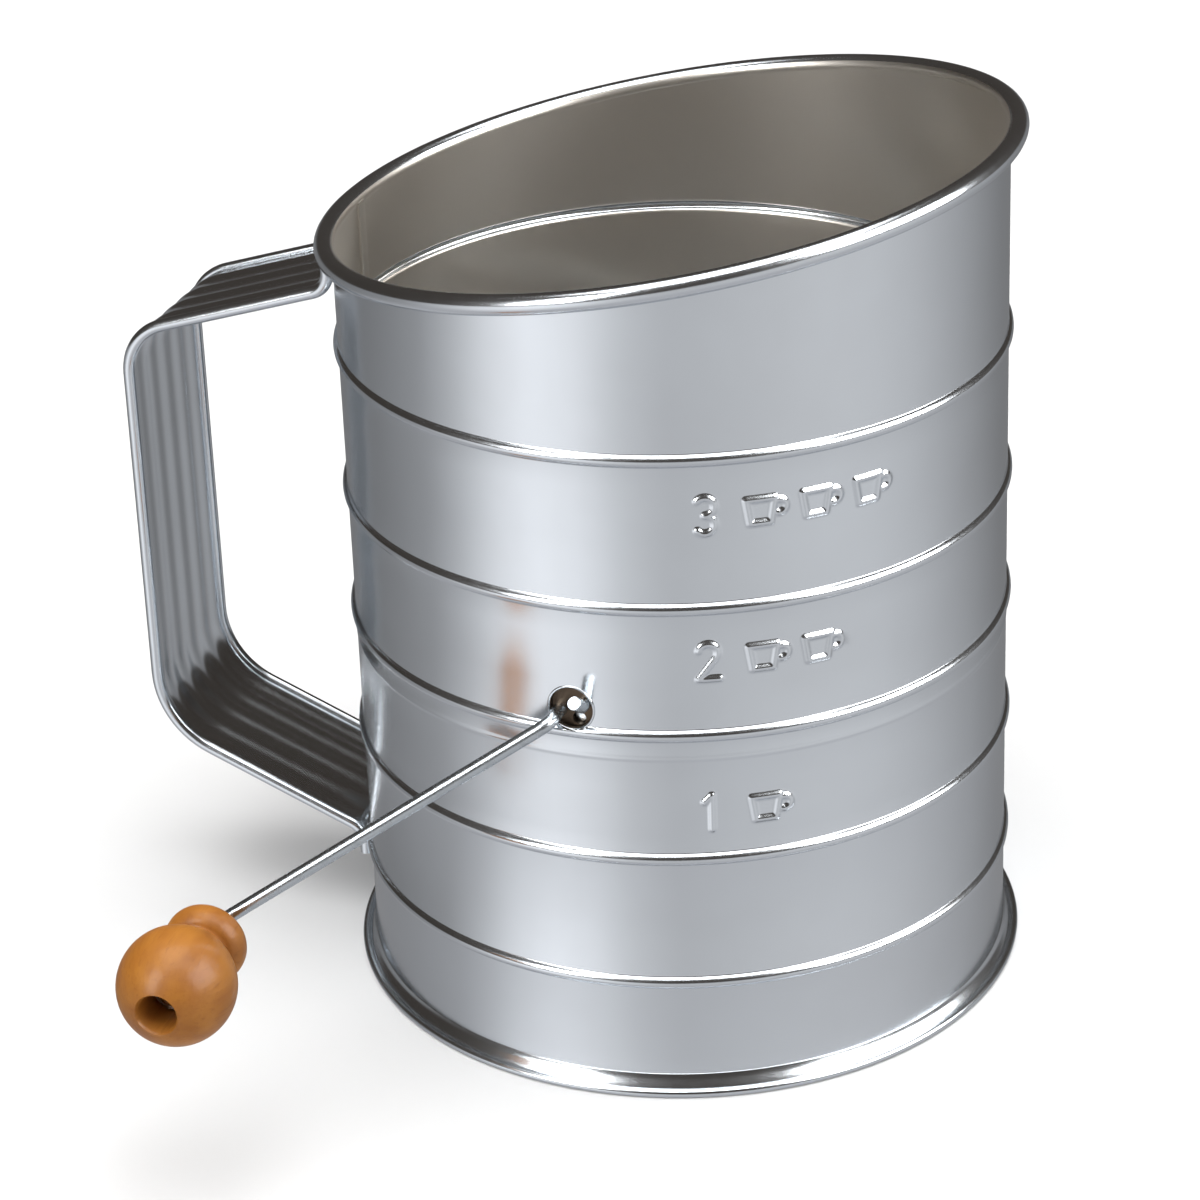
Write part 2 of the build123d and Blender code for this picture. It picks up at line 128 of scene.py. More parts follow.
class Graph:
    """Node tree of one material or world, built from code."""

    def __init__(self, owner: Any) -> None:
        """Start with an empty tree.

        Args:
            owner: the material or world that the tree belongs to.
        """
        self.owner = owner
        owner.use_nodes = True
        self.tree = owner.node_tree
        self.tree.nodes.clear()

    def node(self, kind: str, settings: dict[str, Any] | None = None,
             inputs: dict[Any, Any] | None = None) -> Any:
        """Add any node.

        Args:
            kind: the node's type name.
            settings: properties set before the inputs. The key "stops" fills a colour ramp.
            inputs: socket name or index to a number, colour, signal or socket.

        Returns:
            The new node.
        """
        node = self.tree.nodes.new(kind)
        for key, value in (settings or {}).items():
            if key == "stops":
                self._fill_ramp(node.color_ramp, value)
            else:
                setattr(node, key, value)
        for key, value in (inputs or {}).items():
            if isinstance(value, Signal):
                value = value.socket
            if isinstance(value, bpy.types.NodeSocket):
                self.tree.links.new(value, node.inputs[key])
            else:
                node.inputs[key].default_value = value
        return node

    @staticmethod
    def _fill_ramp(ramp: Any, stops: Sequence[tuple[float, Sequence[float]]]) -> None:
        """Put stops on a colour ramp.

        Args:
            ramp: the ramp.
            stops: place and colour of each stop.
        """
        ramp.elements[0].position, ramp.elements[1].position = stops[0][0], stops[-1][0]
        ramp.elements[0].color, ramp.elements[1].color = (*stops[0][1], 1.0), (*stops[-1][1], 1.0)
        for place, colour in stops[1:-1]:
            ramp.elements.new(place).color = (*colour, 1.0)

    def place(self, scale: Sequence[float] = (1.0, 1.0, 1.0),
              shift: Sequence[float] = (0.0, 0.0, 0.0)) -> Any:
        """Object coordinates, scaled and shifted.

        Args:
            scale: stretch along each axis.
            shift: shift along each axis, in metres.

        Returns:
            The vector socket.
        """
        coords = self.node("ShaderNodeTexCoord")
        mapping = self.node("ShaderNodeMapping", {"vector_type": "POINT"},
                            {"Vector": coords.outputs["Object"], "Location": shift, "Scale": scale})
        return mapping.outputs[0]

    def noise(self, vector: Any, scale: float, detail: float = 3.0, roughness: float = 0.5) -> Signal:
        """Noise between 0 and 1.

        Args:
            vector: where it is read.
            scale: waves per metre.
            detail: octaves.
            roughness: weight of the finer octaves.

        Returns:
            The noise.
        """
        node = self.node("ShaderNodeTexNoise", {}, {"Vector": vector, "Scale": scale, "Detail": detail,
                                                    "Roughness": roughness})
        return Signal(self, node.outputs[0])

    def blend(self, factor: Any, first: Any, second: Any) -> Any:
        """Mix two colours.

        Args:
            factor: how much of the second.
            first: colour or socket.
            second: colour or socket.

        Returns:
            The colour socket.
        """
        colours = [(*colour, 1.0) if isinstance(colour, tuple) else colour for colour in (first, second)]
        node = self.node("ShaderNodeMix", {"data_type": "RGBA"}, {0: factor, 6: colours[0], 7: colours[1]})
        return node.outputs[2]

    def bump(self, height: Signal, distance: float) -> Any:
        """Normal from a height.

        Args:
            height: the height, 0 to 1.
            distance: metres from 0 to 1.

        Returns:
            The normal socket.
        """
        node = self.node("ShaderNodeBump", {}, {"Strength": 1.0, "Distance": distance, "Height": height})
        return node.outputs[0]

    def finish(self, **inputs: Any) -> bpy.types.Material:
        """Close the material with a Principled shader.

        Args:
            inputs: its sockets, with _ for a space.

        Returns:
            The material.
        """
        named = {key.replace("_", " "): value for key, value in inputs.items()}
        shader = self.node("ShaderNodeBsdfPrincipled", {}, named)
        self.node("ShaderNodeOutputMaterial", {}, {"Surface": shader.outputs[0]})
        return self.owner


# --- finishes --------------------------------------------------------------------------------------------
@dataclass(frozen=True)
class Tinplate:
    """Bright tinned sheet, a little dulled by use, with painted shade inside the cylinder: a darker, warmer
    tone there.
    """

    name: str = "tinplate"
    tone: Triple = (0.70, 0.735, 0.77)
    shade: Triple = (0.62, 0.645, 0.67)
    # Darker, browner tone inside the wall's inner face: painted shade for the dim interior.
    inside: Triple = (0.62, 0.585, 0.535)
    roughness: float = 0.20
    inner_radius: float = 55.3
    inner_dulling: float = 0.14

    def material(self) -> bpy.types.Material:
        """Make the material.

        Returns:
            The material.
        """
        graph = Graph(bpy.data.materials.new(self.name))
        cloud = graph.noise(graph.place(), 28.0, 4.0, 0.55)
        drawn = graph.noise(graph.place((1.0, 1.0, 0.06)), 700.0, 3.0, 0.6)
        grain = graph.noise(graph.place(), 2600.0, 2.0, 0.6)
        outside = graph.blend((cloud - 0.35) * 1.6, self.tone, self.shade)
        flat = graph.node("ShaderNodeVectorMath", {"operation": "MULTIPLY"},
                          {0: graph.place(), 1: (1.0, 1.0, 0.0)})
        length = graph.node("ShaderNodeVectorMath", {"operation": "LENGTH"}, {0: flat.outputs[0]})
        # Painted shade: inside the inner radius the colour turns to the darker, browner inside tone. The same
        # mask also dulls the roughness there.
        within = 1.0 - Signal(graph, length.outputs["Value"]).above(self.inner_radius * MM)
        colour = graph.blend(within, outside, self.inside)
        wave = graph.noise(graph.place((1.0, 1.0, 0.6)), 42.0, 2.0, 0.4)
        rough = (self.roughness + (cloud - 0.5) * 0.06 + (drawn - 0.5) * 0.05 * (1.0 - within)
                 + within * self.inner_dulling)
        height = wave * 0.5 + grain * 0.02
        return graph.finish(Base_Color=colour, Metallic=1.0, Roughness=rough.clipped(),
                            Normal=graph.bump(height, 0.00016))


@dataclass(frozen=True)
class DrawnWire:
    """Bright drawn steel wire with fine die lines and faint handling marks."""

    name: str = "bright_wire"
    tone: Triple = (0.56, 0.60, 0.63)
    shade: Triple = (0.40, 0.43, 0.45)
    roughness: float = 0.27

    def material(self) -> bpy.types.Material:
        """Make the material.

        Returns:
            The material.
        """
        graph = Graph(bpy.data.materials.new(self.name))
        marks = graph.noise(graph.place(), 420.0, 4.0, 0.6)
        fine = graph.noise(graph.place(), 5200.0, 2.0, 0.5)
        colour = graph.blend((marks - 0.45) * 2.0, self.tone, self.shade)
        rough = self.roughness + (marks - 0.5) * 0.14
        return graph.finish(Base_Color=colour, Metallic=1.0, Roughness=rough.clipped(),
                            Normal=graph.bump(fine, 0.000012))


@dataclass(frozen=True)
class VarnishedWood:
    """Turned hardwood under honey varnish, grain along the spindle."""

    name: str = "varnished_wood"
    light: Triple = (0.37, 0.145, 0.022)
    dark: Triple = (0.25, 0.083, 0.012)
    pore: Triple = (0.15, 0.043, 0.007)
    centre: Triple = (-50.6, -100.09, 37.4)

    def material(self) -> bpy.types.Material:
        """Make the material.

        Returns:
            The material.
        """
        graph = Graph(bpy.data.materials.new(self.name))
        shift = tuple(-value * MM for value in self.centre)
        rings = graph.noise(graph.place((1.0, 0.22, 1.0), shift=shift), 210.0, 4.0, 0.55)
        rays = graph.noise(graph.place((1.0, 0.05, 1.0), shift=shift), 1500.0, 3.0, 0.6)
        blotch = graph.noise(graph.place(shift=shift), 95.0, 3.0, 0.5)
        base = graph.blend(((rings - 0.36) * 2.6).clipped(), self.light, self.dark)
        veined = graph.blend(((rays - 0.56) * 3.2).clipped() * 0.6, base, self.pore)
        colour = graph.blend(((blotch - 0.45) * 2.0).clipped() * 0.35, veined, self.dark)
        rough = 0.40 + (blotch - 0.5) * 0.25
        return graph.finish(Base_Color=colour, Roughness=rough.clipped(), Coat_Weight=0.10,
                            Coat_Roughness=0.16, Specular_IOR_Level=0.2,
                            Normal=graph.bump(rays * 0.5 + blotch * 0.5, 0.00010))


@dataclass(frozen=True)
class Tabletop:
    """Plain pale matt tabletop."""

    name: str = "tabletop"
    tone: Triple = (0.66, 0.66, 0.66)

    def material(self) -> bpy.types.Material:
        """Make the material.

        Returns:
            The material.
        """
        graph = Graph(bpy.data.materials.new(self.name))
        cloud = graph.noise(graph.place(), 6.0, 2.0, 0.5)
        colour = graph.blend(cloud, self.tone, tuple(value * 0.985 for value in self.tone))
        return graph.finish(Base_Color=colour, Roughness=0.75, Specular_IOR_Level=0.15)


# --- shape helpers ---------------------------------------------------------------------------------------
class Ends(Enum):
    """What a swept shape has at its two ends."""

    CAPPED = "capped"
    JOINED = "joined"


Frame = tuple[Vector, Vector, Vector]


def rounded_path(points: Sequence[Vector], radii: Sequence[float], arc_step: float = 8.0,
                 run_step: float = 1e9) -> list[Vector]:
    """Straight runs joined by arcs.

    Args:
        points: the corners, with both ends.
        radii: bend radius at each inner corner.
        arc_step: degrees from one point of an arc to the next.
        run_step: longest stretch of a straight run without a point.

    Returns:
        The points along the path.
    """
    path = [points[0].copy()]
    for before, corner, after, radius in zip(points, points[1:], points[2:], radii):
        towards = (corner - before).normalized()
        away = (after - corner).normalized()
        turn = towards.angle(away)
        reach = radius * math.tan(turn / 2)
        start = corner - towards * reach
        inward = (away - towards * away.dot(towards)).normalized()
        middle = start + inward * radius
        count = max(2, round(math.degrees(turn) / arc_step))
        _fill_run(path, start, run_step)
        for index in range(1, count + 1):
            angle = turn * index / count
            path.append(middle - inward * radius * math.cos(angle) + towards * radius * math.sin(angle))
    _fill_run(path, points[-1], run_step)
    return path


def _fill_run(path: list[Vector], end: Vector, step: float) -> None:
    """Carry a path on along a straight run.

    Args:
        path: the path, which grows.
        end: the run's end.
        step: longest stretch without a point.
    """
    start = path[-1].copy()
    count = max(1, math.ceil((end - start).length / step))
    for index in range(1, count + 1):
        path.append(start.lerp(end, index / count))


def carried_frames(path: Sequence[Vector], side: Vector | None = None, closed: bool = False) -> list[Frame]:
    """Frame at each point of a path.

    Args:
        path: the points.
        side: a fixed sideways direction, for a flat strap; without it the frame is carried along.
        closed: whether the path ends where it starts.

    Returns:
        Point, sideways direction and outward direction at each point.
    """
    frames: list[Frame] = []
    last_side = side
    count = len(path)
    for index, point in enumerate(path):
        ahead = path[(index + 1) % count] if closed else path[min(index + 1, count - 1)]
        behind = path[index - 1] if closed or index else path[0]
        tangent = (ahead - behind).normalized()
        if last_side is None:
            last_side = tangent.orthogonal()
        across = (last_side - tangent * last_side.dot(tangent)).normalized()
        frames.append((point, across, tangent.cross(across)))
        last_side = side if side is not None else across
    return frames


def swept(frames: Sequence[Frame], section: Callable[[int], Sequence[Pair]],
          ends: Ends = Ends.CAPPED) -> BMesh:
    """Roll a grid into a tube of any section along a path.

    Args:
        frames: point, sideways and outward direction at each ring.
        section: gives a ring's outline, sideways and outward, for its number.
        ends: whether the ends are capped or joined.

    Returns:
        The mesh, in millimetres.
    """
    rings = len(frames) + (1 if ends is Ends.JOINED else 0)
    sides = len(section(0))
    bm = bmesh.new()
    bmesh.ops.create_grid(bm, x_segments=rings - 1, y_segments=sides, size=1.0)
    outlines = [section(index) for index in range(len(frames))]
    for vertex in bm.verts:
        ring = round((vertex.co.x + 1) / 2 * (rings - 1)) % len(frames)
        place = round((vertex.co.y + 1) / 2 * sides) % sides
        point, across, outward = frames[ring]
        sideways, out = outlines[ring][place]
        vertex.co = point + across * sideways + outward * out
    bmesh.ops.remove_doubles(bm, verts=bm.verts, dist=WELD_DISTANCE)
    if ends is Ends.CAPPED:
        bmesh.ops.holes_fill(bm, edges=[edge for edge in bm.edges if edge.is_boundary], sides=0)
    return bm


def round_section(radius: float, sides: int) -> list[Pair]:
    """Outline of a round wire.

    Args:
        radius: its radius.
        sides: number of points.

    Returns:
        The outline.
    """
    return [(radius * math.cos(math.tau * index / sides), radius * math.sin(math.tau * index / sides))
            for index in range(sides)]


def tube(path: Sequence[Vector], radius: float, sides: int = 20,
         ends: Ends = Ends.CAPPED) -> BMesh:
    """Round wire along a path.

    Args:
        path: its middle line.
        radius: its radius.
        sides: number of points round it.
        ends: whether the ends are capped or joined.

    Returns:
        The mesh, in millimetres.
    """
    outline = round_section(radius, sides)
    return swept(carried_frames(path, closed=ends is Ends.JOINED), lambda ring: outline, ends)


def turned(profile: Sequence[Pair], steps: int, closed: bool = True) -> BMesh:
    """Spin a profile round the Z axis.

    Args:
        profile: radius and height of each point.
        steps: number of steps round the circle.
        closed: whether the profile's last point joins its first.

    Returns:
        The mesh, in millimetres.
    """
    bm = bmesh.new()
    corners = [bm.verts.new((radius, 0.0, height)) for radius, height in profile]
    edges = [bm.edges.new(pair) for pair in zip(corners, corners[1:])]
    if closed:
        edges.append(bm.edges.new((corners[-1], corners[0])))
    bmesh.ops.spin(bm, geom=corners + edges, cent=(0, 0, 0), axis=(0, 0, 1), angle=math.tau,
                   steps=steps, use_merge=True)
    bmesh.ops.remove_doubles(bm, verts=bm.verts, dist=WELD_DISTANCE)
    return bm


def arc_points(middle: Pair, radius: float, start: float, end: float,
               count: int) -> list[Pair]:
    """Points along a flat arc.

    Args:
        middle: its centre.
        radius: its radius.
        start: first angle, in degrees.
        end: last angle, in degrees.
        count: number of steps.

    Returns:
        The points.
    """
    angles = [math.radians(start + (end - start) * index / count) for index in range(count + 1)]
    return [(middle[0] + radius * math.cos(angle), middle[1] + radius * math.sin(angle)) for angle in angles]


def merged(parts: Sequence[BMesh]) -> BMesh:
    """Put several meshes into one.

    Args:
        parts: the meshes, which are freed.

    Returns:
        The one mesh.
    """
    whole = bmesh.new()
    for part in parts:
        mesh = bpy.data.meshes.new("part")
        part.to_mesh(mesh)
        part.free()
        whole.from_mesh(mesh)
        bpy.data.meshes.remove(mesh)
    return whole


def make_piece(name: str, bm: BMesh, material: bpy.types.Material, body: str,
               stands_for: Sequence[str] = (), crease: float = 40.0) -> bpy.types.Object:
    """Turn a mesh into a piece of the sifter.

    Args:
        name: the piece's name.
        bm: its mesh in millimetres, which is freed.
        material: its finish.
        body: the body that it rides on.
        stands_for: CAD nodes that it is shown for.
        crease: degrees over which an edge is sharp.

    Returns:
        The object.
    """
    bmesh.ops.recalc_face_normals(bm, faces=bm.faces)
    bmesh.ops.scale(bm, vec=(MM, MM, MM), verts=bm.verts)
    mesh = bpy.data.meshes.new(name)
    bm.to_mesh(mesh)
    bm.free()
    mesh.materials.append(material)
    for polygon in mesh.polygons:
        polygon.use_smooth = True
    mesh.set_sharp_from_angle(angle=math.radians(crease))
    piece = bpy.data.objects.new(name, mesh)
    bpy.context.scene.collection.objects.link(piece)
    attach(piece, body)
    for node in stands_for:
        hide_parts(node)
    LOG.info("%s: %d faces", name, len(mesh.polygons))
    return piece


def dress(node: str, material: bpy.types.Material) -> None:
    """Give a CAD node its finish.

    Args:
        node: the node's name.
        material: the finish.
    """
    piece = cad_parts[node]
    piece.data.materials.clear()
    piece.data.materials.append(material)
    LOG.info("%s: dressed", node)


# --- sub-assemblies --------------------------------------------------------------------------------------
@dataclass
class Mark:
    """Numeral and cups of one level, as skeleton strokes in the wall's own plane."""

    count: int
    height: float
    left: float = -70.7
    tall: float = 7.0
    stroke: float = 0.9
    gap: float = 2.4
    cup_width: float = 6.8
    proud: float = 0.40
    edge: float = 0.42

    def strokes(self) -> list[list[Pair]]:
        """Lay the skeleton strokes out along the wall.

        Returns:
            Polylines, along the wall from the mark's left end and up from its middle.
        """
        lines = []
        for place in range(self.count + 1):
            shift = self.tall / 2 + place * (self.cup_width + self.gap)
            glyph = self._numeral() if place == 0 else self._cup()
            lines += [[(x + shift, y) for x, y in line] for line in glyph]
        return lines

    def _numeral(self) -> list[list[Pair]]:
        """Skeleton of 1, 2 or 3.

        Returns:
            The polylines, about the numeral's middle.
        """
        top = (self.tall - self.stroke) / 2
        bowl = top / 2
        if self.count == 1:
            return [[(0.0, -top), (0.0, top), (-1.3 * self.stroke, top - 1.3 * self.stroke)]]
        if self.count == 3:
            return [arc_points((0.0, bowl), bowl, 140.0, -90.0, 14),
                    arc_points((0.0, -bowl), bowl, 90.0, -140.0, 14)]
        return [[*arc_points((0.0, bowl), bowl, 165.0, -38.0, 12), (-bowl, -top), (bowl * 1.15, -top)]]

    def _cup(self) -> list[list[Pair]]:
        """Skeleton of a cup with its ear.

        Returns:
            The polylines, about the cup's middle.
        """
        half = (self.cup_width - 2.4 * self.stroke) / 2
        rise = self.tall * 0.35 - self.stroke / 2
        middle = -self.stroke / 2
        foot = half * 0.72
        body = [(middle - half, rise), (middle - foot, -rise), (middle + foot, -rise), (middle + half, rise),
                (middle - half, rise)]
        ear = arc_points((self.cup_width / 2 - self.stroke * 0.9, self.stroke / 2), 1.25 * self.stroke,
                         105.0, -105.0, 10)
        return [body, ear]

    def length(self) -> float:
        """Length of the mark along the wall."""
        return self.tall + self.count * (self.cup_width + self.gap)

    def lift(self, along: float, up: float, strokes: Sequence[Sequence[Pair]]) -> float:
        """How far the pressed mark stands off the wall at a point.

        Args:
            along: millimetres along the wall from the mark's left end.
            up: millimetres above it.
            strokes: the mark's skeleton.

        Returns:
            The height in millimetres.
        """
        nearest = min(_distance((along, up), start, end) for line in strokes
                      for start, end in zip(line, line[1:]))
        fade = (self.stroke / 2 + self.edge - nearest) / (2 * self.edge)
        fade = min(max(fade, 0.0), 1.0)
        return self.proud * fade * fade * (3 - 2 * fade)


def _distance(point: Pair, start: Pair, end: Pair) -> float:
    """Distance from a point to a flat segment.

    Args:
        point: the point.
        start: the segment's start.
        end: its end.

    Returns:
        The distance.
    """
    run, rise = end[0] - start[0], end[1] - start[1]
    share = ((point[0] - start[0]) * run + (point[1] - start[1]) * rise) / max(run * run + rise * rise, 1e-9)
    share = min(max(share, 0.0), 1.0)
    return math.hypot(point[0] - start[0] - share * run, point[1] - start[1] - share * rise)


@dataclass
class Wall:
    """Ribbed tinplate wall with its pressed marks, seam, hole lips and rolled rim."""

    finish: Tinplate
    radius: float = WALL_RADIUS
    sheet: float = 0.4
    bottom: float = 3.2
    rim_mid: float = 139.9
    rim_slant: float = 9.5
    roll_radius: float = 1.7
    roll_inset: float = 0.1
    ribs: tuple[float, ...] = (20.8, 43.9, 66.3, 88.6, 114.0)
    rib_radius: float = 1.1
    rib_proud: float = 0.78
    rib_fillet: float = 0.25
    step: float = 61.8
    seam_width: float = 2.4
    seam_start: float = 63.1
    shaft: float = SHAFT_HEIGHT
    hole_radius: float = 3.605
    hole_clearance: float = 0.08
    lip_width: float = 0.4
    mark_margin: float = 1.6
    mark_cuts: int = 5
    steps: int = 288
    marks: tuple[Mark, ...] = (Mark(1, 52.4), Mark(2, 79.4), Mark(3, 104.6))

    def build(self) -> None:
        """Make the wall, its seam, rim and lips."""
        material = self.finish.material()
        sheet = self._cut_holes(self._shell())
        parts = [sheet, self._seam(), *self._lips()]
        make_piece("wall", merged(parts), material, "body", ("body_wall",), 50.0)
        make_piece("rolled_rim", self._rim(), material, "body", ("rim_wire",))

    @property
    def rim_normal(self) -> Vector:
        """Upward normal of the slanted rim."""
        slant = math.radians(self.rim_slant)
        return Vector((-math.sin(slant), 0.0, math.cos(slant)))

    def _face(self, depth: float) -> list[Pair]:
        """One face of the sheet, from the bottom up.

        Args:
            depth: how far the face lies behind the outer one.

        Returns:
            Radius and height of each point.
        """
        top = self.rim_mid + 2 * self.radius * math.tan(math.radians(self.rim_slant))
        face = self.radius - depth
        points = [(face, self.bottom)]
        crest = self.rib_proud - self.rib_radius
        reach = math.sqrt((self.rib_radius + self.rib_fillet) ** 2 - (self.rib_fillet - crest) ** 2)
        bend = math.degrees(math.atan2(reach, self.rib_fillet - crest))
        rows = sorted([(height, "rib") for height in self.ribs]
                      + [(mark.height, "mark") for mark in self.marks] + [(self.step, "step")])
        for height, kind in rows:
            if kind == "rib":
                middle = self.radius + self.rib_fillet
                points += arc_points((middle, height - reach), self.rib_fillet + depth, 180.0,
                                     180.0 - bend, 4)
                points += arc_points((self.radius + crest, height), self.rib_radius - depth, -bend, bend,
                                     10)[1:-1]
                points += arc_points((middle, height + reach), self.rib_fillet + depth, 180.0 + bend,
                                     180.0, 4)
            elif kind == "mark":
                points += [(face, height + (index - 4) * 1.1) for index in range(9)]
            elif depth == 0.0:
                points += [(face + lift, height + rise) for rise, lift in
                           ((-0.35, 0.0), (-0.05, 0.03), (0.2, 0.09), (0.45, 0.11), (0.7, 0.09), (0.95, 0.03),
                            (1.25, 0.0))]
        points.append((face, top))
        return points

    def _shell(self) -> BMesh:
        """Spin the sheet, cut it along the rim and press the marks into it.

        Returns:
            The mesh, in millimetres.
        """
        profile = self._face(0.0) + self._face(self.sheet)[::-1]
        bm = turned(profile, self.steps)
        geometry = bm.verts[:] + bm.edges[:] + bm.faces[:]
        cut = bmesh.ops.bisect_plane(bm, geom=geometry, dist=WELD_DISTANCE, plane_co=(0, 0, self.rim_mid),
                                     plane_no=self.rim_normal, clear_outer=True)
        loops = [edge for edge in cut["geom_cut"] if isinstance(edge, bmesh.types.BMEdge)]
        bmesh.ops.bridge_loops(bm, edges=loops)
        for mark in self.marks:
            self._press(bm, mark)
        return bm

    def _press(self, bm: BMesh, mark: Mark) -> None:
        """Refine the sheet round one mark and push its strokes out.

        Args:
            bm: the wall.
            mark: the mark.
        """
        half_height = mark.tall / 2 + 1.0
        length = mark.length()
        left = math.radians(mark.left)
        outer = self.radius - self.sheet / 2

        def place(vertex: Any) -> Pair:
            """Where a vertex is, along the wall from the mark's left end and up from its middle."""
            bearing = math.atan2(vertex.co.y, vertex.co.x) - left
            bearing = (bearing + math.pi) % math.tau - math.pi
            return bearing * self.radius, vertex.co.z - mark.height

        def near(vertex: Any) -> bool:
            """Whether a vertex is on the mark's patch."""
            along, up = place(vertex)
            return -self.mark_margin < along < length + self.mark_margin and abs(up) < half_height

        faces = [face for face in bm.faces
                 if len(face.verts) == 4 and all(near(vertex) for vertex in face.verts)
                 and min(math.hypot(vertex.co.x, vertex.co.y) for vertex in face.verts) > outer]
        edges = list({edge for face in faces for edge in face.edges})
        bmesh.ops.subdivide_edges(bm, edges=edges, cuts=self.mark_cuts, use_grid_fill=True)
        strokes = mark.strokes()
        for vertex in bm.verts:
            radius = math.hypot(vertex.co.x, vertex.co.y)
            if radius > outer and near(vertex):
                along, up = place(vertex)
                share = (self.radius + mark.lift(along, up, strokes)) / radius
                vertex.co.x *= share
                vertex.co.y *= share

    def _cut_holes(self, bm: BMesh) -> BMesh:
        """Cut both shaft holes through the sheet.

        Args:
            bm: the sheet, which is freed.

        Returns:
            The sheet with its holes.
        """
        bmesh.ops.recalc_face_normals(bm, faces=bm.faces)
        cutter = bmesh.new()
        punched = self.hole_radius + self.hole_clearance
        across = Matrix.Translation((0, 0, self.shaft)) @ Matrix.Rotation(math.pi / 2, 4, "X")
        bmesh.ops.create_cone(cutter, cap_ends=True, segments=48, radius1=punched, radius2=punched,
                              depth=4 * self.radius, matrix=across)
        bmesh.ops.recalc_face_normals(cutter, faces=cutter.faces)
        objects = []
        for name, source in (("sheet", bm), ("punch", cutter)):
            mesh = bpy.data.meshes.new(name)
            source.to_mesh(mesh)
            source.free()
            objects.append(bpy.data.objects.new(name, mesh))
            bpy.context.scene.collection.objects.link(objects[-1])
        punch = objects[0].modifiers.new("punch", "BOOLEAN")
        punch.operation = "DIFFERENCE"
        punch.solver = "EXACT"
        punch.object = objects[1]
        bpy.context.view_layer.update()
        result = bmesh.new()
        result.from_object(objects[0], bpy.context.evaluated_depsgraph_get())
        for leftover in objects:
            mesh = leftover.data
            bpy.data.objects.remove(leftover)
            bpy.data.meshes.remove(mesh)
        return result

    def _lips(self) -> list[BMesh]:
        """Rounded lips pressed round the two shaft holes.

        Returns:
            The meshes, in millimetres.
        """
        hole, width = self.hole_radius, self.lip_width
        section = [(hole, self.radius - self.sheet - 0.2), (hole, self.radius - 0.1)]
        section += arc_points((hole + width / 2, self.radius - 0.04), width / 2, 180.0, 0.0, 8)
        section += [(hole + width, self.radius - self.sheet - 0.2)]
        lips = []
        for turn in (math.pi / 2, -math.pi / 2):
            lip = turned(section, 64)
            place = Matrix.Translation((0, 0, self.shaft)) @ Matrix.Rotation(turn, 4, "X")
            bmesh.ops.transform(lip, matrix=place, verts=lip.verts)
            lips.append(lip)
        return lips

    def _seam(self) -> BMesh:
        """Folded lock seam inside the wall behind the handle.

        Returns:
            The mesh, in millimetres.
        """
        bm = bmesh.new()
        top = self.rim_mid + self.radius
        face = self.radius - self.sheet
        bmesh.ops.create_cube(bm, size=1.0)
        bmesh.ops.scale(bm, vec=(0.9, self.seam_width, top - self.seam_start), verts=bm.verts)
        bmesh.ops.translate(bm, vec=(0.05 - face, 0, (top + self.seam_start) / 2), verts=bm.verts)
        bmesh.ops.bevel(bm, geom=bm.edges[:], offset=0.22, segments=3, profile=0.5, affect="EDGES",
                        material=-1)
        geometry = bm.verts[:] + bm.edges[:] + bm.faces[:]
        cut = bmesh.ops.bisect_plane(bm, geom=geometry, dist=WELD_DISTANCE,
                                     plane_co=(0, 0, self.rim_mid - 0.2), plane_no=self.rim_normal,
                                     clear_outer=True)
        rims = [edge for edge in cut["geom_cut"] if isinstance(edge, bmesh.types.BMEdge)]
        bmesh.ops.holes_fill(bm, edges=rims, sides=0)
        return bm

    def _rim(self) -> BMesh:
        """Rolled rim on the slanted ellipse, as a round tube.

        Returns:
            The mesh, in millimetres.
        """
        reach = self.radius - self.sheet - self.roll_inset + self.roll_radius
        slope = math.tan(math.radians(self.rim_slant))
        path = []
        for index in range(RING_STEPS):
            turn = math.tau * index / RING_STEPS
            x = reach * math.cos(turn)
            path.append(Vector((x, reach * math.sin(turn), self.rim_mid + x * slope)))
        return tube(path, self.roll_radius, 24, Ends.JOINED)


@dataclass
class Foot:
    """Flared foot ring with its rolled edge."""

    finish: Tinplate
    radius: float = WALL_RADIUS
    sheet: float = 0.4
    height: float = 3.2
    flare: float = 1.9
    roll_radius: float = 0.7
    sleeve: float = 5.0

    def build(self) -> None:
        """Make the foot ring."""
        middle = self.radius + self.flare
        inner = self.radius - self.sheet
        roll = arc_points((middle, self.roll_radius), self.roll_radius, 140.0, -205.0, 28)
        profile = [(inner - 0.02, self.height + self.sleeve), (inner - 0.02, self.height + 0.1)]
        profile += arc_points((self.radius, self.height - 0.08), 0.14, 90.0, 20.0, 4)
        profile += [(self.radius + 0.26, self.height - 0.5), (self.radius + 0.56, self.height - 0.95),
                    (self.radius + 0.92, self.height - 1.45), (middle - 0.68, self.roll_radius + 0.62),
                    (middle - 0.58, self.roll_radius + 0.42)]
        profile += [(x, max(z, 0.0)) for x, z in roll]
        profile += [(self.radius + 0.1, self.height - 1.05), (inner - self.sheet, self.height - 0.3),
                    (inner - self.sheet, self.height + self.sleeve)]
        bm = turned(profile, RING_STEPS)
        make_piece("foot", bm, self.finish.material(), "body", ("foot_ring", "foot_wire"), 50.0)


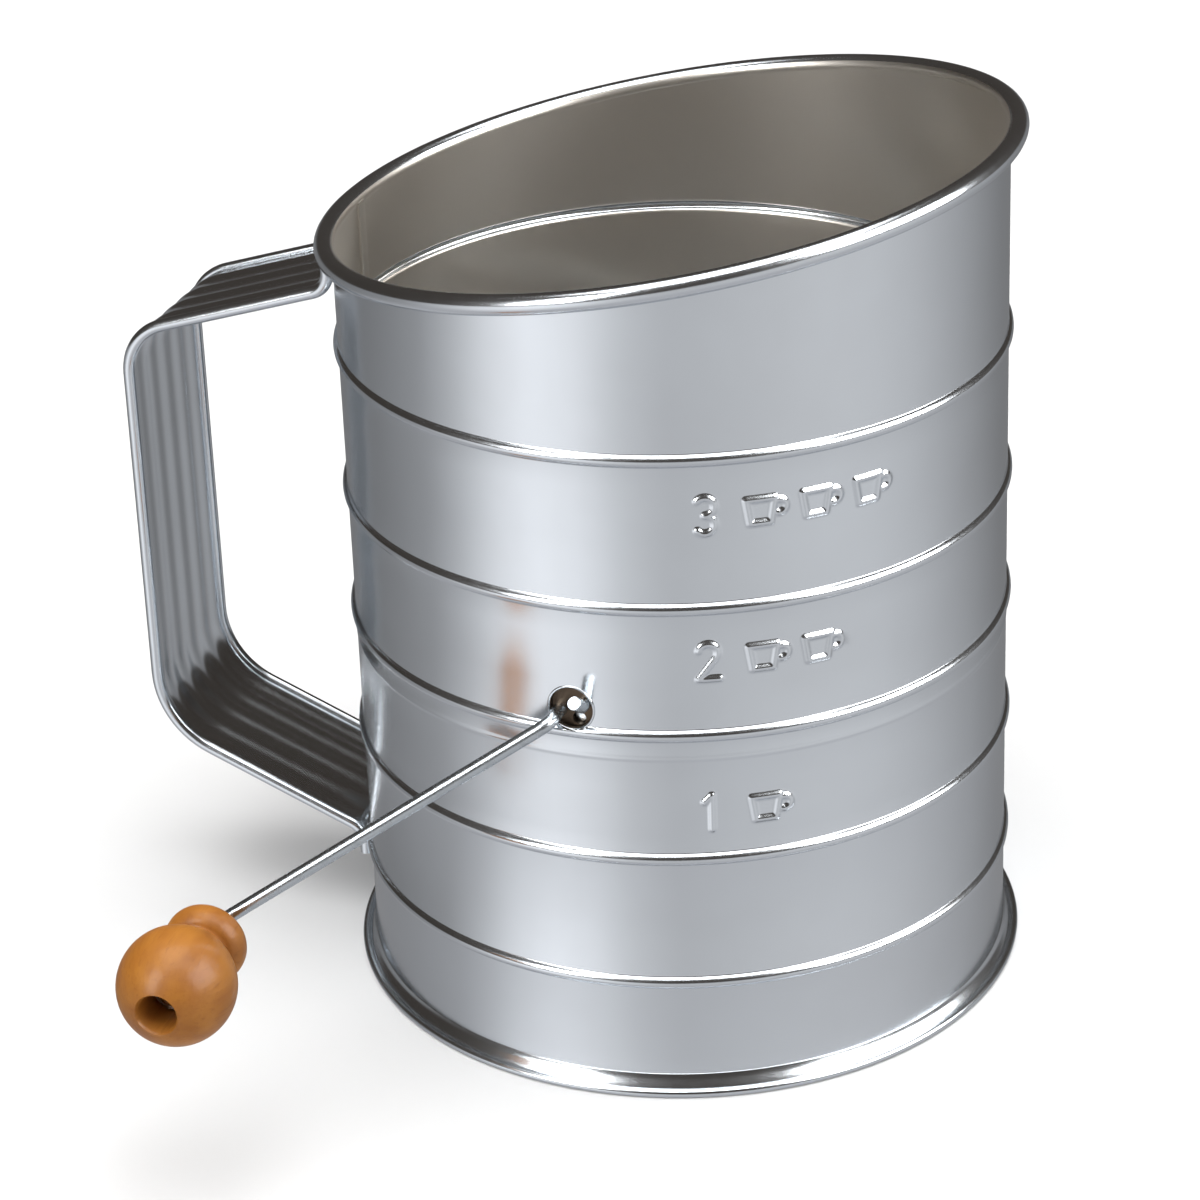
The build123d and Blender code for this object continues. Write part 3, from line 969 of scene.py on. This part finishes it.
@dataclass
class Screen:
    """Woven wire bowl clamped in an angle ring."""

    finish: DrawnWire
    ring_finish: Tinplate
    shaft: float = SHAFT_HEIGHT
    radius: float = 52.05
    top: float = 61.9
    pitch: float = 1.8
    wire: float = 0.17
    wave: float = 0.17
    ring_top: float = 62.5
    ring_outer: float = 55.1
    ring_sheet: float = 0.6
    ring_height: float = 6.0
    ring_flange: float = 3.4
    ring_bend: float = 0.5

    def build(self) -> None:
        """Make the woven bowl and its ring."""
        wires = [self._wire(place, lengthwise) for lengthwise in (True, False) for place in self._places()]
        piece = merged([wire for wire in wires if wire is not None])
        make_piece("woven_screen", piece, self.finish.material(), "body", ("screen_bowl",), 80.0)
        outer, inner = self.ring_outer - 0.03, self.ring_outer - self.ring_flange
        bend = self.ring_bend
        profile = [(inner, self.ring_top - self.ring_sheet)]
        profile += arc_points((inner + 0.3, self.ring_top - 0.3), 0.3, 180.0, 90.0, 4)
        profile += arc_points((outer - bend, self.ring_top - bend), bend, 90.0, 0.0, 5)
        profile += [(outer, self.ring_top - self.ring_height),
                    (outer - self.ring_sheet, self.ring_top - self.ring_height),
                    (outer - self.ring_sheet, self.ring_top - self.ring_sheet)]
        make_piece("screen_clamp", turned(profile, RING_STEPS), self.ring_finish.material(), "body",
                   ("screen_ring",), 50.0)

    def _places(self) -> list[float]:
        """Angles of the wires' planes across the bowl.

        Returns:
            The angles.
        """
        edge = math.acos((self.shaft - self.top) / self.radius)
        count = int(edge * self.radius / self.pitch)
        return [index * self.pitch / self.radius for index in range(-count, count + 1)]

    def _wire(self, place: float, lengthwise: bool) -> BMesh | None:
        """One woven wire over the bowl.

        Args:
            place: angle of its plane across the bowl.
            lengthwise: whether it runs along Y.

        Returns:
            The mesh in millimetres, or nothing where the wire would be too short.
        """
        small = self.radius * math.cos(place)
        drop = (self.shaft - self.top) / math.cos(place)
        if drop >= small - 1.0:
            return None
        half = math.acos(drop / small)
        step = self.pitch / self.radius
        row = round(place / step)
        path = []
        count = int(half / (step / 2))
        for index in range(-count, count + 1):
            angle = index * step / 2
            lift = 0.0 if index % 2 else self.wave * (-1) ** (index // 2 + row)
            radius = self.radius + (lift if lengthwise else -lift)
            down = Vector((math.sin(place), 0.0, -math.cos(place)))
            along = down * math.cos(angle) + Vector((0.0, math.sin(angle), 0.0))
            if not lengthwise:
                along = Vector((along.y, along.x, along.z))
            path.append(UP * self.shaft + along * radius)
        return tube(path, self.wire, 4) if len(path) > 3 else None


@dataclass
class Handle:
    """Fluted strap handle with rolled edges, welded on by two tabs."""

    finish: Tinplate
    wall_radius: float = WALL_RADIUS
    width: float = 29.0
    sheet: float = 0.5
    hem_radius: float = 1.1
    wall_x: float = -55.95
    reach: float = -94.2
    grip_top: float = 107.9
    grip_bottom: float = 32.4
    top: float = 119.7
    bottom: float = 16.3
    turn: float = 4.5
    bends: tuple[float, ...] = (4.0, 10.0, 15.0, 4.0)
    flute_count: int = 4
    flute_pitch: float = 5.6
    flute_proud: float = 0.30
    section_steps: int = 96
    tab_width: float = 26.0
    top_tab: float = 8.6
    bottom_tab: float = 9.0
    weld_radius: float = 1.2
    weld_spread: float = 23.0

    def build(self) -> None:
        """Make the strap, its tabs and the welds."""
        corners = [(self.wall_x, self.top + self.turn), (self.wall_x, self.top), (self.reach, self.grip_top),
                   (self.reach, self.grip_bottom), (self.wall_x, self.bottom),
                   (self.wall_x, self.bottom - self.turn)]
        path = rounded_path([Vector((x, 0.0, z)) for x, z in corners], self.bends, 5.0, 6.0)
        outline = self._section()
        strap = swept(carried_frames(path, ALONG), lambda ring: outline)
        material = self.finish.material()
        parts = [strap, self._tab(self.top, self.top + self.top_tab),
                 self._tab(self.bottom - self.bottom_tab, self.bottom)]
        make_piece("strap", merged(parts), material, "body",
                   ("handle_strap", "handle_wire_front", "handle_wire_rear"), 50.0)
        make_piece("spot_welds", merged(self._welds()), material, "body", ("handle_welds",), 60.0)

    def _section(self) -> list[Pair]:
        """Outline of the strap: sideways, and outward to the finger side.

        Returns:
            The outline.
        """
        edge = self.width / 2 - self.hem_radius
        flat = edge - self.hem_radius * 0.75
        count = self.section_steps
        finger = [(x, self.sheet / 2 + self._flute(x)) for x in
                  (-flat + 2 * flat * index / count for index in range(count + 1))]
        right = arc_points((edge, 0.0), self.hem_radius, 138.0, -138.0, 18)
        outer = [(-x, self._flute(x) - self.sheet / 2) for x, _ in finger]
        left = arc_points((-edge, 0.0), self.hem_radius, 318.0, 42.0, 18)
        return finger + right + outer + left

    def _flute(self, x: float) -> float:
        """Depth of the flutes at a place across the strap.

        Args:
            x: millimetres from the strap's middle.

        Returns:
            The depth in millimetres, below 0 in a flute.
        """
        depth = 0.0
        for index in range(self.flute_count):
            away = abs(x - (index - (self.flute_count - 1) / 2) * self.flute_pitch)
            if away < self.flute_pitch / 2:
                depth -= self.flute_proud * (0.5 + 0.5 * math.cos(math.tau * away / self.flute_pitch))
        return depth

    def _tab(self, low: float, high: float) -> BMesh:
        """Tab that hugs the wall.

        Args:
            low: height of its lower edge.
            high: height of its upper edge.

        Returns:
            The mesh, in millimetres.
        """
        bm = bmesh.new()
        half = math.asin(self.tab_width / 2 / self.wall_radius)
        inner, outer = self.wall_radius, self.wall_radius + self.sheet
        bmesh.ops.create_grid(bm, x_segments=24, y_segments=4, size=0.5)
        bmesh.ops.solidify(bm, geom=bm.verts[:] + bm.edges[:] + bm.faces[:], thickness=1.0)
        lowest = min(vertex.co.z for vertex in bm.verts)
        for vertex in bm.verts:
            bearing = math.pi - 2 * half * vertex.co.x
            radius = outer if vertex.co.z - lowest > 0.5 else inner
            height = (low + high) / 2 + vertex.co.y * (high - low)
            vertex.co = (radius * math.cos(bearing), radius * math.sin(bearing), height)
        bmesh.ops.recalc_face_normals(bm, faces=bm.faces)
        rims = [edge for edge in bm.edges if edge.calc_face_angle(0.0) > 1.0]
        bmesh.ops.bevel(bm, geom=rims, offset=0.12, segments=2, profile=0.5, affect="EDGES", material=-1)
        return bm

    def _welds(self) -> list[BMesh]:
        """Four low spot welds on the tabs.

        Returns:
            The meshes, in millimetres.
        """
        face = self.wall_radius + self.sheet
        bearing = math.asin(self.weld_spread / 2 / face)
        dots = []
        for height in (self.top + self.top_tab - 2 * self.weld_radius,
                       self.bottom - self.bottom_tab + 2 * self.weld_radius):
            for side in (-1, 1):
                dot = turned([(0.0, -0.4), (self.weld_radius, -0.4), (self.weld_radius, 0.06),
                              (self.weld_radius * 0.86, 0.2), (self.weld_radius * 0.6, 0.29),
                              (self.weld_radius * 0.3, 0.335), (0.0, 0.35)], 28, closed=False)
                outward = Vector((-math.cos(bearing), side * math.sin(bearing), 0.0))
                place = Matrix.Translation(outward * face + UP * height)
                place @= outward.to_track_quat("Z", "Y").to_matrix().to_4x4()
                bmesh.ops.transform(dot, matrix=place, verts=dot.verts)
                dots.append(dot)
        return dots


@dataclass
class Agitator:
    """Four wires that make the shaft and its hoops, one of them bent on into the crank arm."""

    finish: DrawnWire
    # Near-black brown metal for both ferrules: painted shade for the sunk hub.
    ferrule_shade_finish: DrawnWire
    shaft: float = SHAFT_HEIGHT
    wall_radius: float = WALL_RADIUS
    wire: float = 1.125
    pitch: float = 2.4
    row_tilt: float = 25.0
    centre_lean: float = 15.0
    hoop: float = 49.975
    hoop_bend: float = 2.5
    arm_stand_off: float = 3.8
    arm_end: Triple = (-51.795, -80.57, 37.396)
    spindle_toe: float = SPINDLE_TOE
    knob: Triple = KNOB_MIDDLE
    spindle_reach: float = 2.65
    ferrule_sink: float = 1.0
    stand_off: float = 2.6
    stop_length: float = 4.3
    stop_rise: float = 34.0
    stop_stand_off: float = 0.9
    hook: float = 6.0
    cut_end: float = 1.4
    ferrule_end: float = 54.45
    end_bend: float = 1.8
    arm_bends: tuple[float, ...] = (3.0, 2.6)
    knee_steps: int = 9
    hoop_steps: int = 72
    chamfer: float = 0.16

    def build(self) -> None:
        """Make the four wires and dress both ferrules in a near-black brown metal, painted shade for the hub
        sunk in the holes.
        """
        material = self.finish.material()
        tilt = math.radians(self.row_tilt)
        row = Vector((math.cos(tilt), 0.0, math.sin(tilt)))
        rise = Vector((-math.sin(tilt), 0.0, math.cos(tilt)))
        lean = math.radians(self.row_tilt + self.centre_lean)
        centre = Vector((-math.sin(lean), 0.0, math.cos(lean)))
        outside = self.wall_radius + self.cut_end
        sunk = self.ferrule_end - self.ferrule_sink
        self._wire("crank_rod", self._crank(row), material, "crank_wire", True)
        self._wire("middle_rod", self._hoop_path(centre, 0.0, [self._on(centre, 0.0, -sunk)],
                                                 [self._on(centre, 0.0, outside)]),
                   material, "agitator_wire_centre")
        corner = self._on(row, self.pitch, -(self.wall_radius + self.stop_stand_off))
        bent = math.radians(self.stop_rise)
        tip = corner + Vector((0.0, -math.cos(bent), math.sin(bent))) * self.stop_length
        self._wire("stop_rod", self._hoop_path(row, self.pitch, [tip, corner],
                                               [self._on(row, self.pitch, outside)]),
                   material, "agitator_wire_stop")
        self._wire("lower_rod", self._hoop_path(-rise, self.pitch, [self._on(-rise, self.pitch, -sunk)],
                                                [self._on(-rise, self.pitch, sunk)]),
                   material, "agitator_wire_lower")
        ferrule_shade_finish = self.ferrule_shade_finish.material()
        for node in ("front_ferrule", "rear_ferrule"):
            dress(node, ferrule_shade_finish)

    def _on(self, direction: Vector, offset: float, y: float) -> Vector:
        """Point beside the shaft's axis."""
        return UP * self.shaft + direction * offset + ALONG * y

    def _hoop_path(self, direction: Vector, offset: float, front: list[Vector],
                   rear: list[Vector]) -> list[Vector]:
        """Middle line of a wire with its half hoop.

        Args:
            direction: towards the hoop's middle from the shaft.
            offset: how far the wire's straight part is off the shaft's axis.
            front: points before the hoop, from the wire's front end.
            rear: points after it, to the wire's rear end.

        Returns:
            The points.
        """
        swing = math.asin((offset + self.hoop_bend) / (self.hoop + self.hoop_bend))
        middle = UP * self.shaft
        leg = (self.hoop + self.hoop_bend) * math.cos(swing)
        hoop = []
        half = math.pi / 2 - swing
        for sign in (-1, 1):
            knee = self._on(direction, offset + self.hoop_bend, sign * leg)
            turn = [knee - direction * self.hoop_bend * math.cos(half * share) - ALONG * sign * self.hoop_bend
                    * math.sin(half * share) for share in
                    (index / self.knee_steps for index in range(self.knee_steps + 1))]
            hoop.append(turn if sign < 0 else turn[::-1])
        count = self.hoop_steps
        start = -half
        arc = [middle + direction * self.hoop * math.cos(angle) + ALONG * self.hoop * math.sin(angle)
               for angle in (start + 2 * half * index / count for index in range(1, count))]
        before = rounded_path([*front, hoop[0][0]], [self.end_bend]) if len(front) > 1 else front
        after = rounded_path([hoop[1][-1], *rear], [self.end_bend]) if len(rear) > 1 else rear
        path = [*before, *hoop[0], *arc, *hoop[1], *after]
        return [point for index, point in enumerate(path)
                if not index or (point - path[index - 1]).length > 0.02]

    def _crank(self, row: Vector) -> list[Vector]:
        """Middle line of the wire that is hook, hoop, arm and spindle in one.

        Args:
            row: direction of the row of wires.

        Returns:
            The points.
        """
        start = self._on(-row, self.pitch, -(self.wall_radius + self.arm_stand_off))
        toe = math.radians(self.spindle_toe)
        spindle = Vector((math.sin(toe), -math.cos(toe), 0.0))
        tip = Vector(self.knob) + spindle * self.spindle_reach
        plain = self._hoop_path(-row, self.pitch, [self._on(-row, self.pitch, -self.wall_radius + 1)],
                                [self._on(-row, self.pitch, self.wall_radius + self.stand_off),
                                 self._on(-row, self.pitch + self.hook, self.wall_radius + self.stand_off)])
        arm = rounded_path([tip, Vector(self.arm_end), start, plain[0]], self.arm_bends)
        return [*arm[:-1], *plain]

    def _wire(self, name: str, path: list[Vector], material: bpy.types.Material, node: str,
              headed: bool = False) -> None:
        """Make one wire with slightly rounded cut ends.

        Args:
            name: the piece's name.
            path: its middle line.
            material: its finish.
            node: the CAD node that it is shown for.
            headed: whether its first end has an upset head.
        """
        frames = carried_frames(path)
        chamfer = self.chamfer
        start, end = frames[0], frames[-1]
        into = (path[1] - path[0]).normalized()
        out = (path[-1] - path[-2]).normalized()
        frames = [start, (start[0] + into * chamfer, *start[1:]), *frames[1:-1],
                  (end[0] - out * chamfer, *end[1:]), end]
        last = len(frames) - 1
        full, small = round_section(self.wire, 20), round_section(self.wire - chamfer, 20)
        bm = swept(frames, lambda ring: small if ring in (0, last) else full)
        parts = [bm]
        if headed:
            head = turned([(0.0, -0.1), (1.5, -0.1), (1.8, 0.12), (1.8, 0.42), (1.6, 0.68), (1.1, 0.84),
                           (0.0, 0.9)], 32, closed=False)
            place = Matrix.Translation(path[0]) @ (-into).to_track_quat("Z", "Y").to_matrix().to_4x4()
            bmesh.ops.transform(head, matrix=place, verts=head.verts)
            parts.append(head)
        make_piece(name, merged(parts), material, "crank", (node,), 40.0)


@dataclass
class Knob:
    """Turned wooden knob with its collar and counterbore, and the washer in it."""

    wood: VarnishedWood
    metal: DrawnWire
    middle: Triple = KNOB_MIDDLE
    toe: float = SPINDLE_TOE
    ball: float = 9.5
    collar: float = 6.75
    collar_length: float = 5.5
    neck: float = 4.7
    back: float = 15.1
    bore: float = 1.225
    counterbore: float = 3.2
    depth: float = 7.8

    def build(self) -> None:
        """Make the knob and dress its washer."""
        floor = self.ball - self.depth
        mouth = math.degrees(math.asin((self.counterbore + 0.35) / self.ball))
        waist = -(self.back - self.collar_length)
        profile = [(self.bore, floor), (self.counterbore - 0.2, floor), (self.counterbore, floor + 0.2),
                   (self.counterbore, self.ball * math.cos(math.radians(mouth)) - 0.45)]
        profile += [(self.ball * math.sin(math.radians(angle)), self.ball * math.cos(math.radians(angle)))
                    for angle in (mouth + (146.0 - mouth) * index / 40 for index in range(41))]
        profile += [(self.neck + 0.12, waist + 0.15)]
        half = self.collar_length / 2
        bulge = self.collar - half * 0.84
        profile += [(bulge + half * 0.84 * math.cos(math.radians(angle)) ** 0.9 if abs(angle) < 90 else bulge,
                     waist - half + half * math.sin(math.radians(angle))) for angle in
                    (78.0 - 168.0 * index / 24 for index in range(25))]
        profile += [(self.bore + 0.25, -self.back), (self.bore, -self.back + 0.25)]
        bm = turned(profile, 96)
        toe = math.radians(self.toe)
        spindle = Vector((math.sin(toe), -math.cos(toe), 0.0))
        place = Matrix.Translation(Vector(self.middle)) @ spindle.to_track_quat("Z", "Y").to_matrix().to_4x4()
        bmesh.ops.transform(bm, matrix=place, verts=bm.verts)
        make_piece("wooden_knob", bm, self.wood.material(), "knob", ("knob",), 38.0)
        dress("knob_washer", self.metal.material())


# --- studio ----------------------------------------------------------------------------------------------
@dataclass(frozen=True)
class SoftSide:
    """One broad soft side of the room, as the metal sees it."""

    bearing: float
    half_width: float
    strength: float

    def tone(self, bearing: float) -> float:
        """Brightness that it adds at a bearing, in degrees."""
        away = abs((bearing - self.bearing + 180) % 360 - 180)
        return self.strength * math.cos(math.pi / 2 * min(away / self.half_width, 1.0)) ** 2


@dataclass
class Studio:
    """Plain pale floor, soft light and the camera."""

    floor: Tabletop
    place: Triple = (187.17, -550.55, 353.33)
    azimuth: float = 19.5
    elevation: float = 24.615
    roll: float = -1.957
    lens: float = 113.69
    shift: Pair = (-0.02804, -0.10607)
    ceiling: Triple = (0.050, 0.042, 0.036)
    deep: Triple = (0.55, 0.55, 0.57)
    backdrop: Triple = (0.94, 0.94, 0.94)
    floor_half: float = 4.0
    ceiling_rise: Pair = (22.0, 1.6)
    deep_rise: Pair = (2.4, 2.05)
    room: float = 0.2
    sides: tuple[SoftSide, ...] = (SoftSide(-120.0, 45.0, 0.65), SoftSide(-90.0, 130.0, 0.4),
                                   SoftSide(0.0, 90.0, 0.4))

    def build(self) -> None:
        """Lay the floor, light the room and set the camera."""
        self._floor()
        self._world()
        self._lights()
        self._camera()
        bpy.context.scene.view_settings.view_transform = "Standard"

    def _floor(self) -> None:
        """Pale floor under everything."""
        bm = bmesh.new()
        bmesh.ops.create_grid(bm, x_segments=8, y_segments=8, size=self.floor_half)
        mesh = bpy.data.meshes.new("floor")
        bm.to_mesh(mesh)
        bm.free()
        mesh.materials.append(self.floor.material())
        floor = bpy.data.objects.new("floor", mesh)
        bpy.context.scene.collection.objects.link(floor)
        floor.visible_glossy = False

    def _world(self) -> None:
        """Room that the metal sees: a dim warm ceiling, soft sides under it and a pale floor."""
        world = bpy.data.worlds.new("studio")
        bpy.context.scene.world = world
        graph = Graph(world)
        coords = graph.node("ShaderNodeTexCoord")
        split = graph.node("ShaderNodeSeparateXYZ", {}, {0: coords.outputs["Generated"]})
        east, north, height = (Signal(graph, split.outputs[index]) for index in range(3))
        azimuth = graph.node("ShaderNodeMath", {"operation": "ARCTAN2"}, {0: north, 1: east})
        share = Signal(graph, azimuth.outputs[0]) / math.tau + 0.5
        sides = graph.node("ShaderNodeValToRGB", {"stops": [(place, (tone, tone, tone * 1.02))
                                                            for place, tone in self._sides()]}, {0: share})
        sides.color_ramp.interpolation = "LINEAR"
        lift = (height * self.ceiling_rise[0] + self.ceiling_rise[1]).clipped()
        deep = (height * self.deep_rise[0] + self.deep_rise[1]).clipped()
        low = graph.blend(deep, self.deep, sides.outputs[0])
        room = graph.blend(lift, low, self.ceiling)
        path = graph.node("ShaderNodeLightPath")
        colour = graph.blend(path.outputs["Is Camera Ray"], room, self.backdrop)
        background = graph.node("ShaderNodeBackground", {}, {"Color": colour, "Strength": 1.0})
        graph.node("ShaderNodeOutputWorld", {}, {"Surface": background.outputs[0]})

    def _sides(self) -> list[Pair]:
        """Brightness round the room, from -180 to 180 degrees as 0 to 1."""
        bearings = range(-180, 181, 15)
        return [((bearing + 180) / 360, self.room + sum(side.tone(bearing) for side in self.sides))
                for bearing in bearings]

    def _lights(self) -> None:
        """Hang the lamps: one overhead, two that only show in the metal and two fills that don't."""
        self._lamp("overhead", (0.1, -0.15, 1.7), (1.5, 1.5), 30.0)
        self._lamp("side_left", self._round(-116.0, 32.0, 1.6), (0.52, 1.1), 20.0, lights=False)
        self._lamp("side_right", self._round(-2.0, 32.0, 1.6), (1.5, 1.1), 50.0, lights=False)
        self._lamp("fill", self._round(60.0, 84.0, 2.3), (6.5, 6.5), 165.0, seen=False)
        self._lamp("front_fill", self._round(-120.0, 45.0, 2.2), (1.2, 1.2), 8.0, seen=False)

    @staticmethod
    def _round(azimuth: float, elevation: float, distance: float) -> Triple:
        """Place round the sifter, from degrees and metres."""
        a, e = math.radians(azimuth), math.radians(elevation)
        return (distance * math.cos(a) * math.cos(e), distance * math.sin(a) * math.cos(e),
                distance * math.sin(e))

    def _lamp(self, name: str, place: Triple, size: Pair, power: float,
              seen: bool = True, lights: bool = True) -> None:
        """Hang one flat lamp that looks at the sifter.

        Args:
            name: its name.
            place: where it hangs, in metres.
            size: its width and height, in metres.
            power: watts.
            seen: whether it shows in the metal.
            lights: whether it lights the floor and the wood.
        """
        data = bpy.data.lights.new(name, "AREA")
        data.shape = "RECTANGLE"
        data.size, data.size_y = size
        data.energy = power
        lamp = bpy.data.objects.new(name, data)
        bpy.context.scene.collection.objects.link(lamp)
        lamp.visible_glossy, lamp.visible_diffuse = seen, lights
        towards = Vector((0.0, 0.0, 0.07)) - Vector(place)
        lamp.matrix_world = Matrix.Translation(place) @ towards.to_track_quat("-Z", "Y").to_matrix().to_4x4()

    def _camera(self) -> None:
        """Set the camera."""
        data = bpy.data.cameras.new("camera")
        data.sensor_width = 36.0
        data.lens = self.lens
        data.shift_x, data.shift_y = self.shift
        data.clip_start = 0.01
        camera = bpy.data.objects.new("camera", data)
        bpy.context.scene.collection.objects.link(camera)
        a, e, r = (math.radians(angle) for angle in (self.azimuth, self.elevation, self.roll))
        back = Vector((math.sin(a) * math.cos(e), -math.cos(a) * math.cos(e), math.sin(e)))
        right = Vector((math.cos(a), math.sin(a), 0.0))
        up = back.cross(right)
        level = right * math.cos(r) + up * math.sin(r)
        plumb = up * math.cos(r) - right * math.sin(r)
        turn = Matrix((level, plumb, back)).transposed().to_4x4()
        camera.matrix_world = Matrix.Translation(Vector(self.place) * MM) @ turn
        bpy.context.scene.camera = camera


def main() -> None:
    """Build the sifter and the studio round it."""
    tin, wire = Tinplate(), DrawnWire()
    # The ferrules' near-black brown is painted shade for the hub sunk in the shaft holes.
    ferrule_shade_finish = DrawnWire("ferrule_painted_shade", (0.105, 0.078, 0.056), (0.06, 0.045, 0.034), 0.42)
    for part in (Wall(tin), Foot(tin), Screen(DrawnWire("screen_wire", roughness=0.3), tin), Handle(tin),
                 Agitator(wire, ferrule_shade_finish), Knob(VarnishedWood(), wire), Studio(Tabletop())):
        part.build()
        LOG.info("%s built", type(part).__name__)


if __name__ == "__main__":
    logging.basicConfig(level=logging.INFO, stream=sys.stdout, format="%(name)s: %(message)s")
    main()
